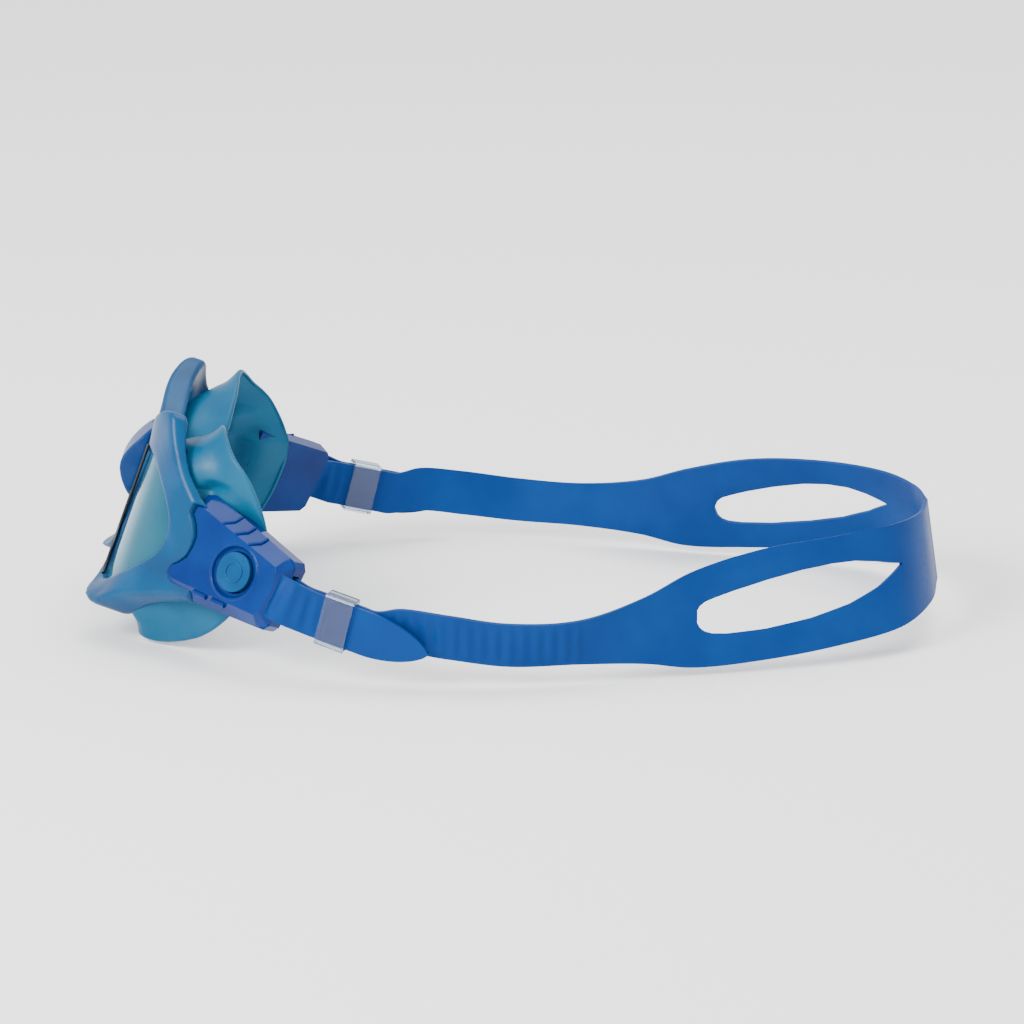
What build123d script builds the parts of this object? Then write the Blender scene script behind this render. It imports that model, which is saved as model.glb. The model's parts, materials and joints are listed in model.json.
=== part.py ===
"""Swim-mask goggles: one rigid frame with two wrapped lenses, two soft eye cups, a nose bridge,
two push-button buckles and a ribbed head strap that splits at the back of the head.

Front pieces are drawn upright in the mask frame (x to the wearer's left, y rearwards, z up) and
then leaned back by PITCH.  The wearer's left side is drawn, and the right side is its mirror image.
"""

import os
from math import cos, radians, sin, sqrt

from build123d import *

os.makedirs("parts", exist_ok=True)

# ---------------------------------------------------------------- driving dimensions (mm, degrees)
PITCH = 20.0  # lean of the mask when it rests on a table
MASK_ORIGIN = (0.0, -118.0, 35.0)  # centre of the mask's front

LENS_CENTRE_X = 17.5  # the lens bends round an upright axis through this x
LENS_RADIUS = 36.0  # outer face of the lens
LENS_FRONT_Y = -2.0  # foremost line of the lens
LENS_THICK = 2.2
LENS_MIDDLE = (27.0, 3.0)
LENS_SEAT = 1.6  # how far the lens reaches behind the frame's rim
SEAT_GAP = 0.1  # clearance round lens, gasket and cup in the frame's pocket
CUP_FRAME_GAP = 0.05  # between the cup's flange and the frame's back

RIM_THICK = 1.8  # frame material in front of the lens
FRAME_DEPTH = 8.0  # frame, measured square to the lens
WRAP_ANGLE = 52.4  # direction of the temple arm, turned from straight across
ARM_LENGTH = 24.0
CHIN_TOP = -12.0
CHIN_BOTTOM = -27.0

GASKET_THICK = 1.2
GASKET_WIDTH = 2.6
CUP_WALL = 1.6
CUP_SLANT = 33.0  # the cup's rim slants back towards the temple
CUP_MIDDLE_X = 36.0
CUP_FACE_Y = 15.0  # face contour beside the nose, straight across
CUP_FACE_BEND = [(30.0, 15.0), (43.0, 28.5), (56.0, 48.0)]  # it curves back to the temple through these

BRIDGE_BACK_Y = -3.9
BRIDGE_PEG = 3.0
BRIDGE_PEG_LENGTH = 4.0
BRIDGE_PEG_Z = (9.0, 19.0)

STRAP_WIDTH = 14.0
STRAP_THICK = 1.8
LAYER_GAP = 0.3  # between the two layers of strap in the keeper
STRAP_EXIT_T = 20.0  # straight strap behind the button's centre
SLOT_FRONT_LEFT = 57.0
SLOT_FRONT_RIGHT = 66.0
SLOT_TIP_Y = 122.0

BUCKLE_CENTRE = (64.5, 33.5, 8.2)  # centre of the button, in the mask frame
BUCKLE_ROLL = 8.6  # the top of the buckle leans towards the head
BUCKLE_THICK = 10.5
COVER_PLATE = 1.6
COVER_DEPTH = 5.0
COVER_WALL = 1.4
COVER_CORNER = 1.6
RECESS_BEVEL = 2.2  # the cover is this much wider at the recess's floor
RECESS_DEPTH = 2.3  # the frame's arm lies this far under the cover's face
BASE_PLATE = 1.8
BASE_WALL = 1.2
BASE_FRONT = -14.0
PART_GAP = 0.15  # clearance between buckle pieces
STRAP_SIDE_GAP = 0.5  # strap edge to buckle wall
RAIL_EDGE = 0.6  # rail above the roller's pin
RAIL_END = 1.2  # rail behind the roller's axis

ARM_END = -9.0
ARM_NECK = -15.5  # the arm narrows to a tongue behind this
ARM_HALF = 10.2
HOOK = 2.4
HOOK_T = -18.8
HOOK_E = 6.3
HOOK_LENGTH = 6.2
PEG = 2.6
PEG_T = -11.6
PEG_E = 7.4

BUTTON_DIAMETER = 12.3
BUTTON_GAP = 0.25
BUTTON_TOP = 0.2
BUTTON_FLANGE = 1.1  # how far the hidden flange reaches past the button
FLANGE_THICK = 1.0
DISH_DIAMETER = 16.0
DISH_DEPTH = 1.2
DISH_WALL = 0.8
RELIEF_RADIUS = 3.4
RELIEF_WIDTH = 0.7
RELIEF_HEIGHT = 0.3
FOOT_T = 2.0  # where the button's feet press the pawl

ROLLER_T = 12.0  # roller axis behind the button's centre
ROLLER_DIAMETER = 3.2
ROLLER_PIN = 1.8
ROLLER_STRAP_GAP = 0.1
PIN_HALF = 8.6
PIN_RUNNING_GAP = 0.1
PAWL_PIN = 1.6
PAWL_PIN_T = -6.5
PAWL_PIN_N = -6.5
PAWL_EYE = 2.8
PAWL_TIP_GAP = 0.35
PAWL_ARM = 1.0
PAWL_ARM_E = 4.2  # arms either side of the spring
SPRING_WIRE = 0.5
SPRING_TURNS = 5
SPRING_LEG = 13.4

KEEPER_LENGTH = 9.5
KEEPER_WALL = 1.0
KEEPER_GAP = 0.35
KEEPER_YAW = 17.0
KEEPER_PITCH = 15.0
KEEPER_START = (72.6, -61.5, 21.8)  # front end of the straight stretch of strap
KEEPER_RUN = 21.0  # length of that stretch
TAIL_END = 18.0  # the tail ends this far behind the straight stretch

REACH = 90.0  # longer than anything that it cuts
SETTLE = (0.0, -1.74, 0.58)  # brings the whole to the middle of its box, standing on the table

# ---------------------------------------------------------------- derived values
LENS_AXIS = (LENS_CENTRE_X, LENS_FRONT_Y + LENS_RADIUS)
RIM_RADIUS = LENS_RADIUS + RIM_THICK
LAYER_PITCH = STRAP_THICK + LAYER_GAP
BASE_FLOOR = -BUCKLE_THICK + BASE_PLATE
INNER_LAYER_N = BASE_FLOOR + PART_GAP + STRAP_THICK / 2
ROLLER_N = INNER_LAYER_N + STRAP_THICK / 2 + ROLLER_DIAMETER / 2
OUTER_LAYER_N = ROLLER_N + ROLLER_DIAMETER / 2 + STRAP_THICK / 2
STRAP_SLOT_HALF = STRAP_WIDTH / 2 + STRAP_SIDE_GAP

place_mask = Location(MASK_ORIGIN) * Location((0, 0, 0), (-PITCH, 0, 0))


def direction(yaw, rise=0.0):
    """Unit vector turned outwards from straight back by yaw, and lifted by rise."""
    return Vector(
        sin(radians(yaw)) * cos(radians(rise)),
        cos(radians(yaw)) * cos(radians(rise)),
        sin(radians(rise)),
    )


def buckle_plane():
    """x runs rearwards along the buckle, y up its face, z out of its face."""
    along = direction(90 - WRAP_ANGLE)
    face = Vector(along.Y, -along.X, 0)
    face = face * cos(radians(BUCKLE_ROLL)) + Vector(0, 0, sin(radians(BUCKLE_ROLL)))
    return Plane(origin=BUCKLE_CENTRE, x_dir=along, z_dir=face)


BUCKLE = buckle_plane()


def front_prism(outline):
    """Closed outline seen from the front, run right through the mask."""
    return extrude(Plane.XZ * outline, amount=REACH, both=True)


def plan_prism(outline):
    """Closed outline seen from above, run right up through the mask."""
    return extrude(Plane.XY * outline, amount=REACH, both=True)


def loop(points):
    """Smooth closed outline through a few points."""
    return make_face(Spline(*points, periodic=True))


def grown(points, centre, amount):
    """Points moved outwards from a centre."""
    moved = []
    for x, z in points:
        reach = sqrt((x - centre[0]) ** 2 + (z - centre[1]) ** 2)
        share = 1 + amount / reach
        moved.append((centre[0] + (x - centre[0]) * share, centre[1] + (z - centre[1]) * share))
    return moved


def block(t0, t1, e0, e1, n0, n1):
    """Box between two corners, in the buckle's axes."""
    return Pos((t0 + t1) / 2, (e0 + e1) / 2, (n0 + n1) / 2) * Box(t1 - t0, e1 - e0, n1 - n0)


def cross_rod(t, n, diameter, half_length):
    """Rod across the buckle."""
    return Pos(t, 0, n) * Rot(90, 0, 0) * Cylinder(diameter / 2, 2 * half_length)


# ---------------------------------------------------------------- lens and its seat
def lens_outline(growth):
    """The clear opening of the left eye, seen from the front, grown all round."""
    points = [(10, 19), (23, 24), (36, 22), (45, 12), (44, -2), (31, -16), (20, -20), (12, -13), (8.5, 3)]
    return loop(grown(points, LENS_MIDDLE, growth))


def behind_lens(distance):
    """Everything further back than this distance behind the lens's outer face."""
    radius = LENS_RADIUS - distance
    turn = radians(WRAP_ANGLE)
    end = (LENS_AXIS[0] + radius * sin(turn), LENS_AXIS[1] - radius * cos(turn))
    far = (end[0] + REACH * cos(turn), end[1] + REACH * sin(turn))
    rear = make_face(Polyline(end, far, (-REACH, far[1]), (-REACH, LENS_AXIS[1]), LENS_AXIS, close=True))
    return plan_prism(Pos(*LENS_AXIS) * Circle(radius) + rear)


def seat_prism(gap):
    """The frame's pocket less a clearance, seen from the front."""
    return front_prism(lens_outline(LENS_SEAT - gap))


def lens():
    return (seat_prism(SEAT_GAP) & behind_lens(0)) - behind_lens(LENS_THICK)


def gasket():
    back = LENS_THICK + GASKET_THICK
    ring = (seat_prism(SEAT_GAP) & behind_lens(LENS_THICK)) - behind_lens(back)
    return ring - front_prism(lens_outline(LENS_SEAT - GASKET_WIDTH))


# ---------------------------------------------------------------- frame
def frame_outline():
    """Front view of the left half of the frame, from the bridge to the temple arm."""
    top = Spline((0, 26.5), (13, 30), (27, 38), (36, 41), (44, 32), (53, 23), (60, 19))
    side = Line((60, 19), (60, -6))
    bottom = Spline((60, -6), (49, -10), (42, -19), (35, -26.5), (26, -22.5), (14, -10), (0, 0))
    return make_face([*top.edges(), *side.edges(), *bottom.edges(), *Line((0, 0), (0, 26.5)).edges()])


def frame_plan():
    """Plan of the left half: straight across the bridge, round the lens, then along the temple."""
    cx, cy = LENS_AXIS
    turn = radians(WRAP_ANGLE)

    def on_arc(radius, angle):
        return (cx + radius * sin(angle), cy - radius * cos(angle))

    def along_arm(point):
        return (point[0] + ARM_LENGTH * cos(turn), point[1] + ARM_LENGTH * sin(turn))

    back = RIM_RADIUS - FRAME_DEPTH
    outer, inner = on_arc(RIM_RADIUS, turn), on_arc(back, turn)
    edges = [
        Line((0, cy - RIM_RADIUS), (cx, cy - RIM_RADIUS)),
        ThreePointArc((cx, cy - RIM_RADIUS), on_arc(RIM_RADIUS, turn / 2), outer),
        Line(outer, along_arm(outer)),
        Line(along_arm(outer), along_arm(inner)),
        Line(along_arm(inner), inner),
        ThreePointArc(inner, on_arc(back, turn / 2), (cx, cy - back)),
        Line((cx, cy - back), (0, cy - back)),
        Line((0, cy - back), (0, cy - RIM_RADIUS)),
    ]
    return make_face([edge for line in edges for edge in line.edges()])


def chin():
    """The prow under the lens, where the frame juts forward of it."""
    back = LENS_AXIS[1] - RIM_RADIUS + 4
    low = make_face(Polyline((8, back), (22, -5.2), (36, -5.6), (42, -2), (48, 10), (40, 8.5), close=True))
    high = make_face(Polyline((8, back), (22, -4.0), (35, -1.5), (41, 1.5), (47.5, 10), (40, 8.5), close=True))
    prow = loft([Plane.XY.offset(CHIN_BOTTOM) * low, Plane.XY.offset(CHIN_TOP) * high], ruled=True)
    return prow & front_prism(frame_outline())


def frame_side():
    """Left half of the frame, with the lens pocket, the buckle's recess and its fixing holes."""
    body = (front_prism(frame_outline()) & plan_prism(frame_plan())) + chin()
    body -= front_prism(lens_outline(0))
    body -= seat_prism(0) & behind_lens(0)
    recess = extrude(Pos(0, 0, -RECESS_DEPTH) * offset(cover_shape(0), 2 * PART_GAP + RECESS_BEVEL), amount=REACH / 4)
    under = block(BASE_FRONT - PART_GAP, REACH, -REACH, REACH, -REACH, BASE_FLOOR + PART_GAP)
    behind = block(ARM_END, REACH, -REACH, REACH, -REACH, REACH)
    sides = extrude(Rectangle(REACH, REACH), amount=REACH / 2, both=True) - block(
        -REACH, REACH, -ARM_HALF, ARM_HALF, -REACH, REACH
    )
    sides = sides & block(ARM_NECK, REACH, -REACH, REACH, -REACH, REACH)
    tools = [recess, under, behind, sides, *hook_rods(PART_GAP), *peg_rods(PART_GAP)]
    for tool in tools:
        body -= BUCKLE.location * tool
    return body


def frame():
    left = frame_side()
    whole = left + mirror(left, about=Plane.YZ)
    return whole - bridge_pegs(PART_GAP)


# ---------------------------------------------------------------- nose bridge
def bridge_pegs(gap):
    """Two pegs that hold the bridge piece to the frame."""
    pegs = Part()
    for z in BRIDGE_PEG_Z:
        peg = Pos(0, BRIDGE_BACK_Y + BRIDGE_PEG_LENGTH / 2, z) * Rot(90, 0, 0)
        pegs += peg * Cylinder(BRIDGE_PEG / 2 + gap, BRIDGE_PEG_LENGTH + gap)
    return pegs


def nose_bridge():
    """Raised piece between the lenses, waisted in front view and peaked in side view."""
    front = loop([(0, 26), (7, 25.5), (9, 20), (6.5, 12), (6, 6), (3.5, 2), (0, 1.5), (-3.5, 2), (-6, 6),
                  (-6.5, 12), (-9, 20), (-7, 25.5)])
    peak = Spline((BRIDGE_BACK_Y, 27), (-8.6, 19), (-10.2, 11), (-7.4, 5.5), (BRIDGE_BACK_Y, 1))
    side = make_face([*peak.edges(), *Line((BRIDGE_BACK_Y, 1), (BRIDGE_BACK_Y, 27)).edges()])
    return (front_prism(front) & extrude(Plane.YZ * side, amount=REACH, both=True)) + bridge_pegs(0)


# ---------------------------------------------------------------- eye cups
def cup_section(depth, points, wall):
    """One slanting section of a cup: front-view points on a plane turned by CUP_SLANT."""
    plane = Plane(
        origin=(CUP_MIDDLE_X, depth, 0),
        x_dir=(cos(radians(CUP_SLANT)), sin(radians(CUP_SLANT)), 0),
        z_dir=(sin(radians(CUP_SLANT)), -cos(radians(CUP_SLANT)), 0),
    )
    drawn = [((x - CUP_MIDDLE_X) / cos(radians(CUP_SLANT)), z) for x, z in points]
    centre = ((LENS_MIDDLE[0] - CUP_MIDDLE_X) / cos(radians(CUP_SLANT)), LENS_MIDDLE[1])
    return plane * loop(grown(drawn, centre, -wall))


def cup_body(wall):
    neck = [(8, 24), (22, 33), (37, 35), (46.5, 26), (47.5, 12), (47, -2), (38, -21.5), (27, -24.5), (12, -18),
            (6.5, 3)]
    lip = [(9, 28), (23, 39), (37, 42.5), (45.5, 35), (44.8, 15), (43.5, -6), (38, -26.5), (31, -28.8), (13, -22),
           (7, 3)]
    rear = [(9, 31), (23, 45), (38, 49), (51, 36), (53.5, 15), (52, -9), (43, -29), (32, -32), (14, -25),
            (8, 3)]
    depths = (-4, 12, 18, 30)
    outlines = (neck, neck, lip, rear)
    return loft([cup_section(d, points, wall) for d, points in zip(depths, outlines)])


def face_contour():
    """What lies in front of the face, seen from above."""
    start, middle, end = CUP_FACE_BEND
    edges = [
        Line((0, -REACH), (0, CUP_FACE_Y)),
        Line((0, CUP_FACE_Y), start),
        ThreePointArc(start, middle, end),
        Line(end, (REACH, end[1])),
        Line((REACH, end[1]), (REACH, -REACH)),
        Line((REACH, -REACH), (0, -REACH)),
    ]
    return plan_prism(make_face([edge for line in edges for edge in line.edges()]))


def cup():
    """Neck in the frame's pocket, flange on the frame's back, and the flared cup behind it."""
    opening = front_prism(lens_outline(LENS_SEAT - GASKET_WIDTH))
    flange = FRAME_DEPTH - RIM_THICK + CUP_FRAME_GAP
    neck = (seat_prism(SEAT_GAP) & behind_lens(LENS_THICK + GASKET_THICK)) - behind_lens(flange + CUP_WALL)
    web = (cup_body(0) & behind_lens(flange)) - behind_lens(flange + CUP_WALL)
    flare = (cup_body(0) - cup_body(CUP_WALL)) & behind_lens(flange) & face_contour()
    relief = block(BASE_FRONT - PART_GAP, REACH, -REACH, REACH, -BUCKLE_THICK - PART_GAP, REACH)
    return (neck + web - opening) + flare - BUCKLE.location * relief


# ---------------------------------------------------------------- buckle
def cover_shape(depth_share):
    """Cover with sharp corners, seen square to its face: 0 at the face, 1 at the foot of its bevels."""
    s = depth_share
    front_e, rear_e = 12 + 4.6 * s, 8 + 3.6 * s
    front_t, rear_t = -22.3 - 1.4 * s, 13.6 + 3.2 * s
    upper = [(-16.5 - s, 3.2), (-17.5 - s, 7), (front_t, front_e - 3), (front_t + 3.5, front_e)]
    points = upper + [(rear_t - 1.5, rear_e), (rear_t, rear_e - 2)]
    lower = [(t, -e) for t, e in reversed(points)]
    return make_face(Polyline(*points, *lower, close=True))


def cover_outline(depth_share):
    outline = cover_shape(depth_share)
    return fillet(outline.vertices(), COVER_CORNER)


def cover_room():
    """Hollow under the cover's face."""
    foot = Pos(0, 0, -COVER_DEPTH) * offset(cover_shape(1), -COVER_WALL)
    face = Pos(0, 0, -COVER_PLATE) * offset(cover_shape(0), -COVER_WALL)
    return loft([foot, face], ruled=True)


def buckle_cover():
    body = loft([Pos(0, 0, -COVER_DEPTH) * cover_outline(1), cover_outline(0)], ruled=True) - cover_room()
    arm_half = ARM_HALF + PART_GAP
    body -= block(-REACH, ARM_END, -arm_half, arm_half, -REACH, -RECESS_DEPTH + PART_GAP)
    body -= block(-REACH, ARM_NECK + PART_GAP, -REACH, REACH, -REACH, -RECESS_DEPTH + PART_GAP)
    body -= block(0, REACH, -STRAP_SLOT_HALF, STRAP_SLOT_HALF, -REACH, -COVER_PLATE)
    dish = Cylinder(DISH_DIAMETER / 2, 2 * DISH_DEPTH)
    boss = DISH_DEPTH + COVER_PLATE
    body += Pos(0, 0, -boss / 2) * Cylinder(DISH_DIAMETER / 2 + DISH_WALL, boss)
    body -= dish
    body -= Cylinder(BUTTON_DIAMETER / 2 + BUTTON_GAP, REACH)
    for hook in hook_rods(0):
        body += hook
    return body


def hook_rods(gap):
    """Snap hooks that hold the cover to the frame's arm."""
    half = HOOK / 2 + gap
    return [
        block(HOOK_T - half, HOOK_T + half, e - half, e + half, -HOOK_LENGTH, -COVER_PLATE)
        for e in (-HOOK_E, HOOK_E)
    ]


def peg_rods(gap):
    """Round pegs that hold the base to the frame's arm."""
    middle = (BASE_FLOOR - RECESS_DEPTH) / 2
    return [
        Pos(PEG_T, e, middle) * Cylinder(PEG / 2 + gap, -RECESS_DEPTH - BASE_FLOOR)
        for e in (-PEG_E, PEG_E)
    ]


def buckle_base():
    """Tray under the strap, with two rails that hold both pins."""
    low, high = -BUCKLE_THICK, -COVER_DEPTH - PART_GAP
    footprint = cover_shape(1) - Pos(BASE_FRONT - REACH / 2, 0) * Rectangle(REACH, REACH)
    body = extrude(Pos(0, 0, low) * footprint, amount=high - low)
    room = extrude(Pos(0, 0, BASE_FLOOR) * offset(footprint, -COVER_WALL), amount=REACH)
    body -= room
    body -= block(-REACH, ARM_END + PART_GAP, -REACH, REACH, BASE_FLOOR, REACH)
    body -= block(0, REACH, -STRAP_SLOT_HALF, STRAP_SLOT_HALF, BASE_FLOOR, REACH)
    rail_top = ROLLER_N + ROLLER_PIN / 2 + RAIL_EDGE
    for side in (-1, 1):
        middle = side * (STRAP_SLOT_HALF + BASE_WALL / 2)
        body += block(ARM_END + PART_GAP, ROLLER_T + RAIL_END, middle - BASE_WALL / 2, middle + BASE_WALL / 2,
                      BASE_FLOOR, rail_top)
    for peg in peg_rods(0):
        body += peg
    body -= cross_rod(ROLLER_T, ROLLER_N, ROLLER_PIN, PIN_HALF)
    return body - cross_rod(PAWL_PIN_T, PAWL_PIN_N, PAWL_PIN, PIN_HALF)


def release_button():
    """Disc in the cover's dish, a hidden flange that keeps it in, and two feet on the pawl."""
    under = -DISH_DEPTH - COVER_PLATE - PART_GAP
    body = Pos(0, 0, (BUTTON_TOP + under) / 2) * Cylinder(BUTTON_DIAMETER / 2, BUTTON_TOP - under)
    body += Pos(0, 0, under - FLANGE_THICK / 2) * Cylinder(BUTTON_DIAMETER / 2 + BUTTON_FLANGE, FLANGE_THICK)
    ring = Circle(RELIEF_RADIUS) - Circle(RELIEF_RADIUS - RELIEF_WIDTH)
    body += extrude(Pos(0, 0, BUTTON_TOP) * ring, amount=RELIEF_HEIGHT)
    pawl_top = PAWL_PIN_N + PAWL_ARM / 2
    for e in (-PAWL_ARM_E, PAWL_ARM_E):
        half = PAWL_ARM / 2
        body += block(FOOT_T - half, FOOT_T + half, e - half, e + half, pawl_top + PART_GAP / 2, under)
    return body


def pawl():
    """Fork hinged ahead of the button, whose cross bar bites the strap on the roller."""
    tip = ROLLER_T - ROLLER_DIAMETER / 2 - STRAP_THICK - PAWL_TIP_GAP
    low, high = PAWL_PIN_N - PAWL_ARM / 2, PAWL_PIN_N + PAWL_ARM / 2
    body = block(tip - PAWL_ARM, tip, -PAWL_ARM_E, PAWL_ARM_E, low, ROLLER_N + PAWL_ARM / 2)
    for e in (-PAWL_ARM_E, PAWL_ARM_E):
        body += block(PAWL_PIN_T, tip, e - PAWL_ARM / 2, e + PAWL_ARM / 2, low, high)
        body += Pos(PAWL_PIN_T, e, PAWL_PIN_N) * Rot(90, 0, 0) * Cylinder(PAWL_EYE / 2, PAWL_ARM)
    return body - cross_rod(PAWL_PIN_T, PAWL_PIN_N, PAWL_PIN + 2 * PIN_RUNNING_GAP, REACH)


def pawl_spring():
    """Torsion spring round the pawl's pin, with one leg under the cross bar."""
    coil_radius = PAWL_PIN / 2 + PIN_RUNNING_GAP + SPRING_WIRE
    half = (PAWL_ARM_E - PAWL_ARM / 2) - SPRING_WIRE
    body = Part()
    for turn in range(SPRING_TURNS):
        e = -half + SPRING_WIRE / 2 + turn * (2 * half - SPRING_WIRE) / (SPRING_TURNS - 1)
        body += Pos(0, e, 0) * Rot(90, 0, 0) * Torus(coil_radius, SPRING_WIRE / 2)
    spacer = block(-SPRING_WIRE / 2, SPRING_WIRE / 2, -half, half, -coil_radius - SPRING_WIRE / 2, -coil_radius)
    leg = block(-SPRING_WIRE / 2, SPRING_LEG, -SPRING_WIRE / 2, SPRING_WIRE / 2,
                coil_radius - SPRING_WIRE / 2, coil_radius + SPRING_WIRE / 2)
    return Pos(PAWL_PIN_T, 0, PAWL_PIN_N) * (body + spacer + leg)


def strap_roller():
    tube = cross_rod(ROLLER_T, ROLLER_N, ROLLER_DIAMETER, STRAP_WIDTH / 2 + STRAP_SIDE_GAP - PART_GAP)
    return tube - cross_rod(ROLLER_T, ROLLER_N, ROLLER_PIN + 2 * PIN_RUNNING_GAP, REACH)


def roller_pin():
    return cross_rod(ROLLER_T, ROLLER_N, ROLLER_PIN, PIN_HALF)


def pawl_pin():
    return cross_rod(PAWL_PIN_T, PAWL_PIN_N, PAWL_PIN, PIN_HALF)


# ---------------------------------------------------------------- head strap
def band_section(centre, up, along, height, thick):
    """Cross-section of the strap, with its thickness square to its run."""
    return Plane(origin=centre, x_dir=along.cross(up), z_dir=along) * Rectangle(thick, height)


def keeper_plane():
    """x runs along the straight stretch of strap, z out of its face."""
    along = direction(KEEPER_YAW, -KEEPER_PITCH)
    face = along.cross(Vector(0, 0, 1)).normalized()
    middle = Vector(*KEEPER_START) + along * (KEEPER_RUN / 2)
    return Plane(origin=middle, x_dir=along, z_dir=face)


def buckle_world():
    return Plane(place_mask * BUCKLE.location)


def wrap_round_roller():
    """The strap inside the buckle: in under the roller, round it and out over it."""
    straight_end = STRAP_EXIT_T
    outer = ROLLER_DIAMETER / 2 + STRAP_THICK
    ring = cross_rod(ROLLER_T, ROLLER_N, 2 * outer, STRAP_WIDTH / 2)
    ring -= cross_rod(ROLLER_T, ROLLER_N, ROLLER_DIAMETER + 2 * ROLLER_STRAP_GAP, REACH)
    ring -= block(ROLLER_T, REACH, -REACH, REACH, -REACH, REACH)
    body = ring
    for n in (INNER_LAYER_N, OUTER_LAYER_N):
        thin = ROLLER_STRAP_GAP if n > ROLLER_N else 0
        lift = ROLLER_STRAP_GAP if n < ROLLER_N else 0
        body += block(ROLLER_T, straight_end, -STRAP_WIDTH / 2, STRAP_WIDTH / 2,
                      n - STRAP_THICK / 2 + thin, n + STRAP_THICK / 2 - lift)
    return buckle_world().location * body


def strap_stations():
    """Edges of the strap behind the keeper, front to back: upper (x, y, z), lower (x, y, z)."""
    return [
        ((82.0, -18, 23.0), (79.2, -18, 8.8)),
        ((82.2, 0, 20.5), (79.4, 0, 6.5)),
        ((77.2, 22, 20.2), (75.4, 22, 6.0)),
        ((66.0, 42, 24.5), (71.0, 42, 4.6)),
        ((58.5, 56, 30.2), (67.0, 56, 2.2)),
        ((52.0, 77, 35.5), (62.0, 77, 3.0)),
        ((43.0, 101, 37.4), (54.2, 101, 5.4)),
        ((30.5, 119, 37.6), (43.5, 121, 8.2)),
        ((16.0, 128, 37.2), (25.0, 131, 10.5)),
        ((0.0, 131.0, 37.0), (0.0, 134.8, 11.0)),
    ]


def strap_run():
    """Left half of the strap as (middle, up, along, height), from the buckle to the back."""
    keeper, buckle = keeper_plane(), buckle_world()
    exit_point = buckle.from_local_coords((STRAP_EXIT_T - 1, 0, INNER_LAYER_N))
    run = [(exit_point, buckle.y_dir, buckle.x_dir, STRAP_WIDTH)]
    for reach in (-KEEPER_RUN / 2, 0, KEEPER_RUN / 2):
        point = keeper.from_local_coords((reach, 0, -LAYER_PITCH / 2))
        run.append((point, keeper.y_dir, keeper.x_dir, STRAP_WIDTH))
    stations = [(Vector(*top), Vector(*bottom)) for top, bottom in strap_stations()]
    middles = [(top + bottom) / 2 for top, bottom in stations]
    for number, (top, bottom) in enumerate(stations):
        if number == len(stations) - 1:
            along = Vector(-1, 0, 0)
        else:
            before = middles[number - 1] if number else keeper.from_local_coords((KEEPER_RUN / 2, 0, 0))
            along = (middles[number + 1] - before).normalized()
        rise = top - bottom
        up = (rise - along * rise.dot(along)).normalized()
        run.append((middles[number], up, along, rise.length))
    return run


def strap_band():
    """The whole band, from the left buckle round the back to the right one."""
    left = strap_run()
    right = []
    for middle, up, along, height in reversed(left[:-1]):
        flipped = Vector(-middle.X, middle.Y, middle.Z)
        right.append((flipped, Vector(-up.X, up.Y, up.Z), Vector(along.X, -along.Y, -along.Z), height))
    return loft([band_section(*station, STRAP_THICK) for station in left + right])


def strap_tail():
    """The free end, lying on the strap and rounded off behind the keeper."""
    keeper, buckle = keeper_plane(), buckle_world()
    exit_point = buckle.from_local_coords((STRAP_EXIT_T - 1, 0, OUTER_LAYER_N))
    sections = [band_section(exit_point, buckle.y_dir, buckle.x_dir, STRAP_WIDTH, STRAP_THICK)]
    for reach in (-KEEPER_RUN / 2, 0, KEEPER_RUN / 2):
        point = keeper.from_local_coords((reach, 0, LAYER_PITCH / 2))
        sections.append(band_section(point, keeper.y_dir, keeper.x_dir, STRAP_WIDTH, STRAP_THICK))
    body = loft(sections, ruled=True)
    start = keeper.from_local_coords((KEEPER_RUN / 2, 0, LAYER_PITCH / 2))
    end_face = band_section(start, keeper.y_dir, keeper.x_dir, STRAP_WIDTH, STRAP_THICK)
    run_out = extrude(end_face, amount=TAIL_END, dir=keeper.x_dir)
    nose = extrude(Ellipse(TAIL_END, STRAP_WIDTH / 2), amount=REACH, both=True)
    nose = Plane(origin=start, x_dir=keeper.x_dir, z_dir=keeper.z_dir).location * nose
    return body + (run_out & nose)


def slot_cut(front_y):
    """Opening between the two bands at the back: round in front, pointed behind."""
    outline = Spline(
        (front_y + 45, 29.6),
        (front_y + 22, 26.5),
        (front_y + 4, 21.5),
        (front_y, 17),
        (front_y + 4, 12),
        (front_y + 22, 12.4),
        (front_y + 48, 17.2),
    )
    tip = Line((front_y + 48, 17.2), (SLOT_TIP_Y, 26))
    back = Line((SLOT_TIP_Y, 26), (front_y + 45, 29.6))
    face = make_face([*outline.edges(), *tip.edges(), *back.edges()])
    return extrude(Plane.YZ * face, amount=REACH)


def strap():
    ends = wrap_round_roller() + strap_tail()
    body = strap_band() + ends + mirror(ends, about=Plane.YZ)
    body -= slot_cut(SLOT_FRONT_LEFT)
    return body - mirror(slot_cut(SLOT_FRONT_RIGHT), about=Plane.YZ)


def keeper():
    """Clear sleeve round both layers of the strap."""
    height = STRAP_WIDTH + 2 * KEEPER_GAP
    depth = LAYER_PITCH + STRAP_THICK + 2 * KEEPER_GAP
    outer = Box(KEEPER_LENGTH, height + 2 * KEEPER_WALL, depth + 2 * KEEPER_WALL)
    outer = fillet(outer.edges().filter_by(Axis.X), KEEPER_WALL)
    return keeper_plane().location * (outer - Box(2 * KEEPER_LENGTH, height, depth))


# ---------------------------------------------------------------- writing the parts
def write(name, shape):
    export_step(Location(SETTLE) * shape, f"parts/{name}.step")


def write_both(name, shape):
    write(f"{name}_left", shape)
    write(f"{name}_right", mirror(shape, about=Plane.YZ))


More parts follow.
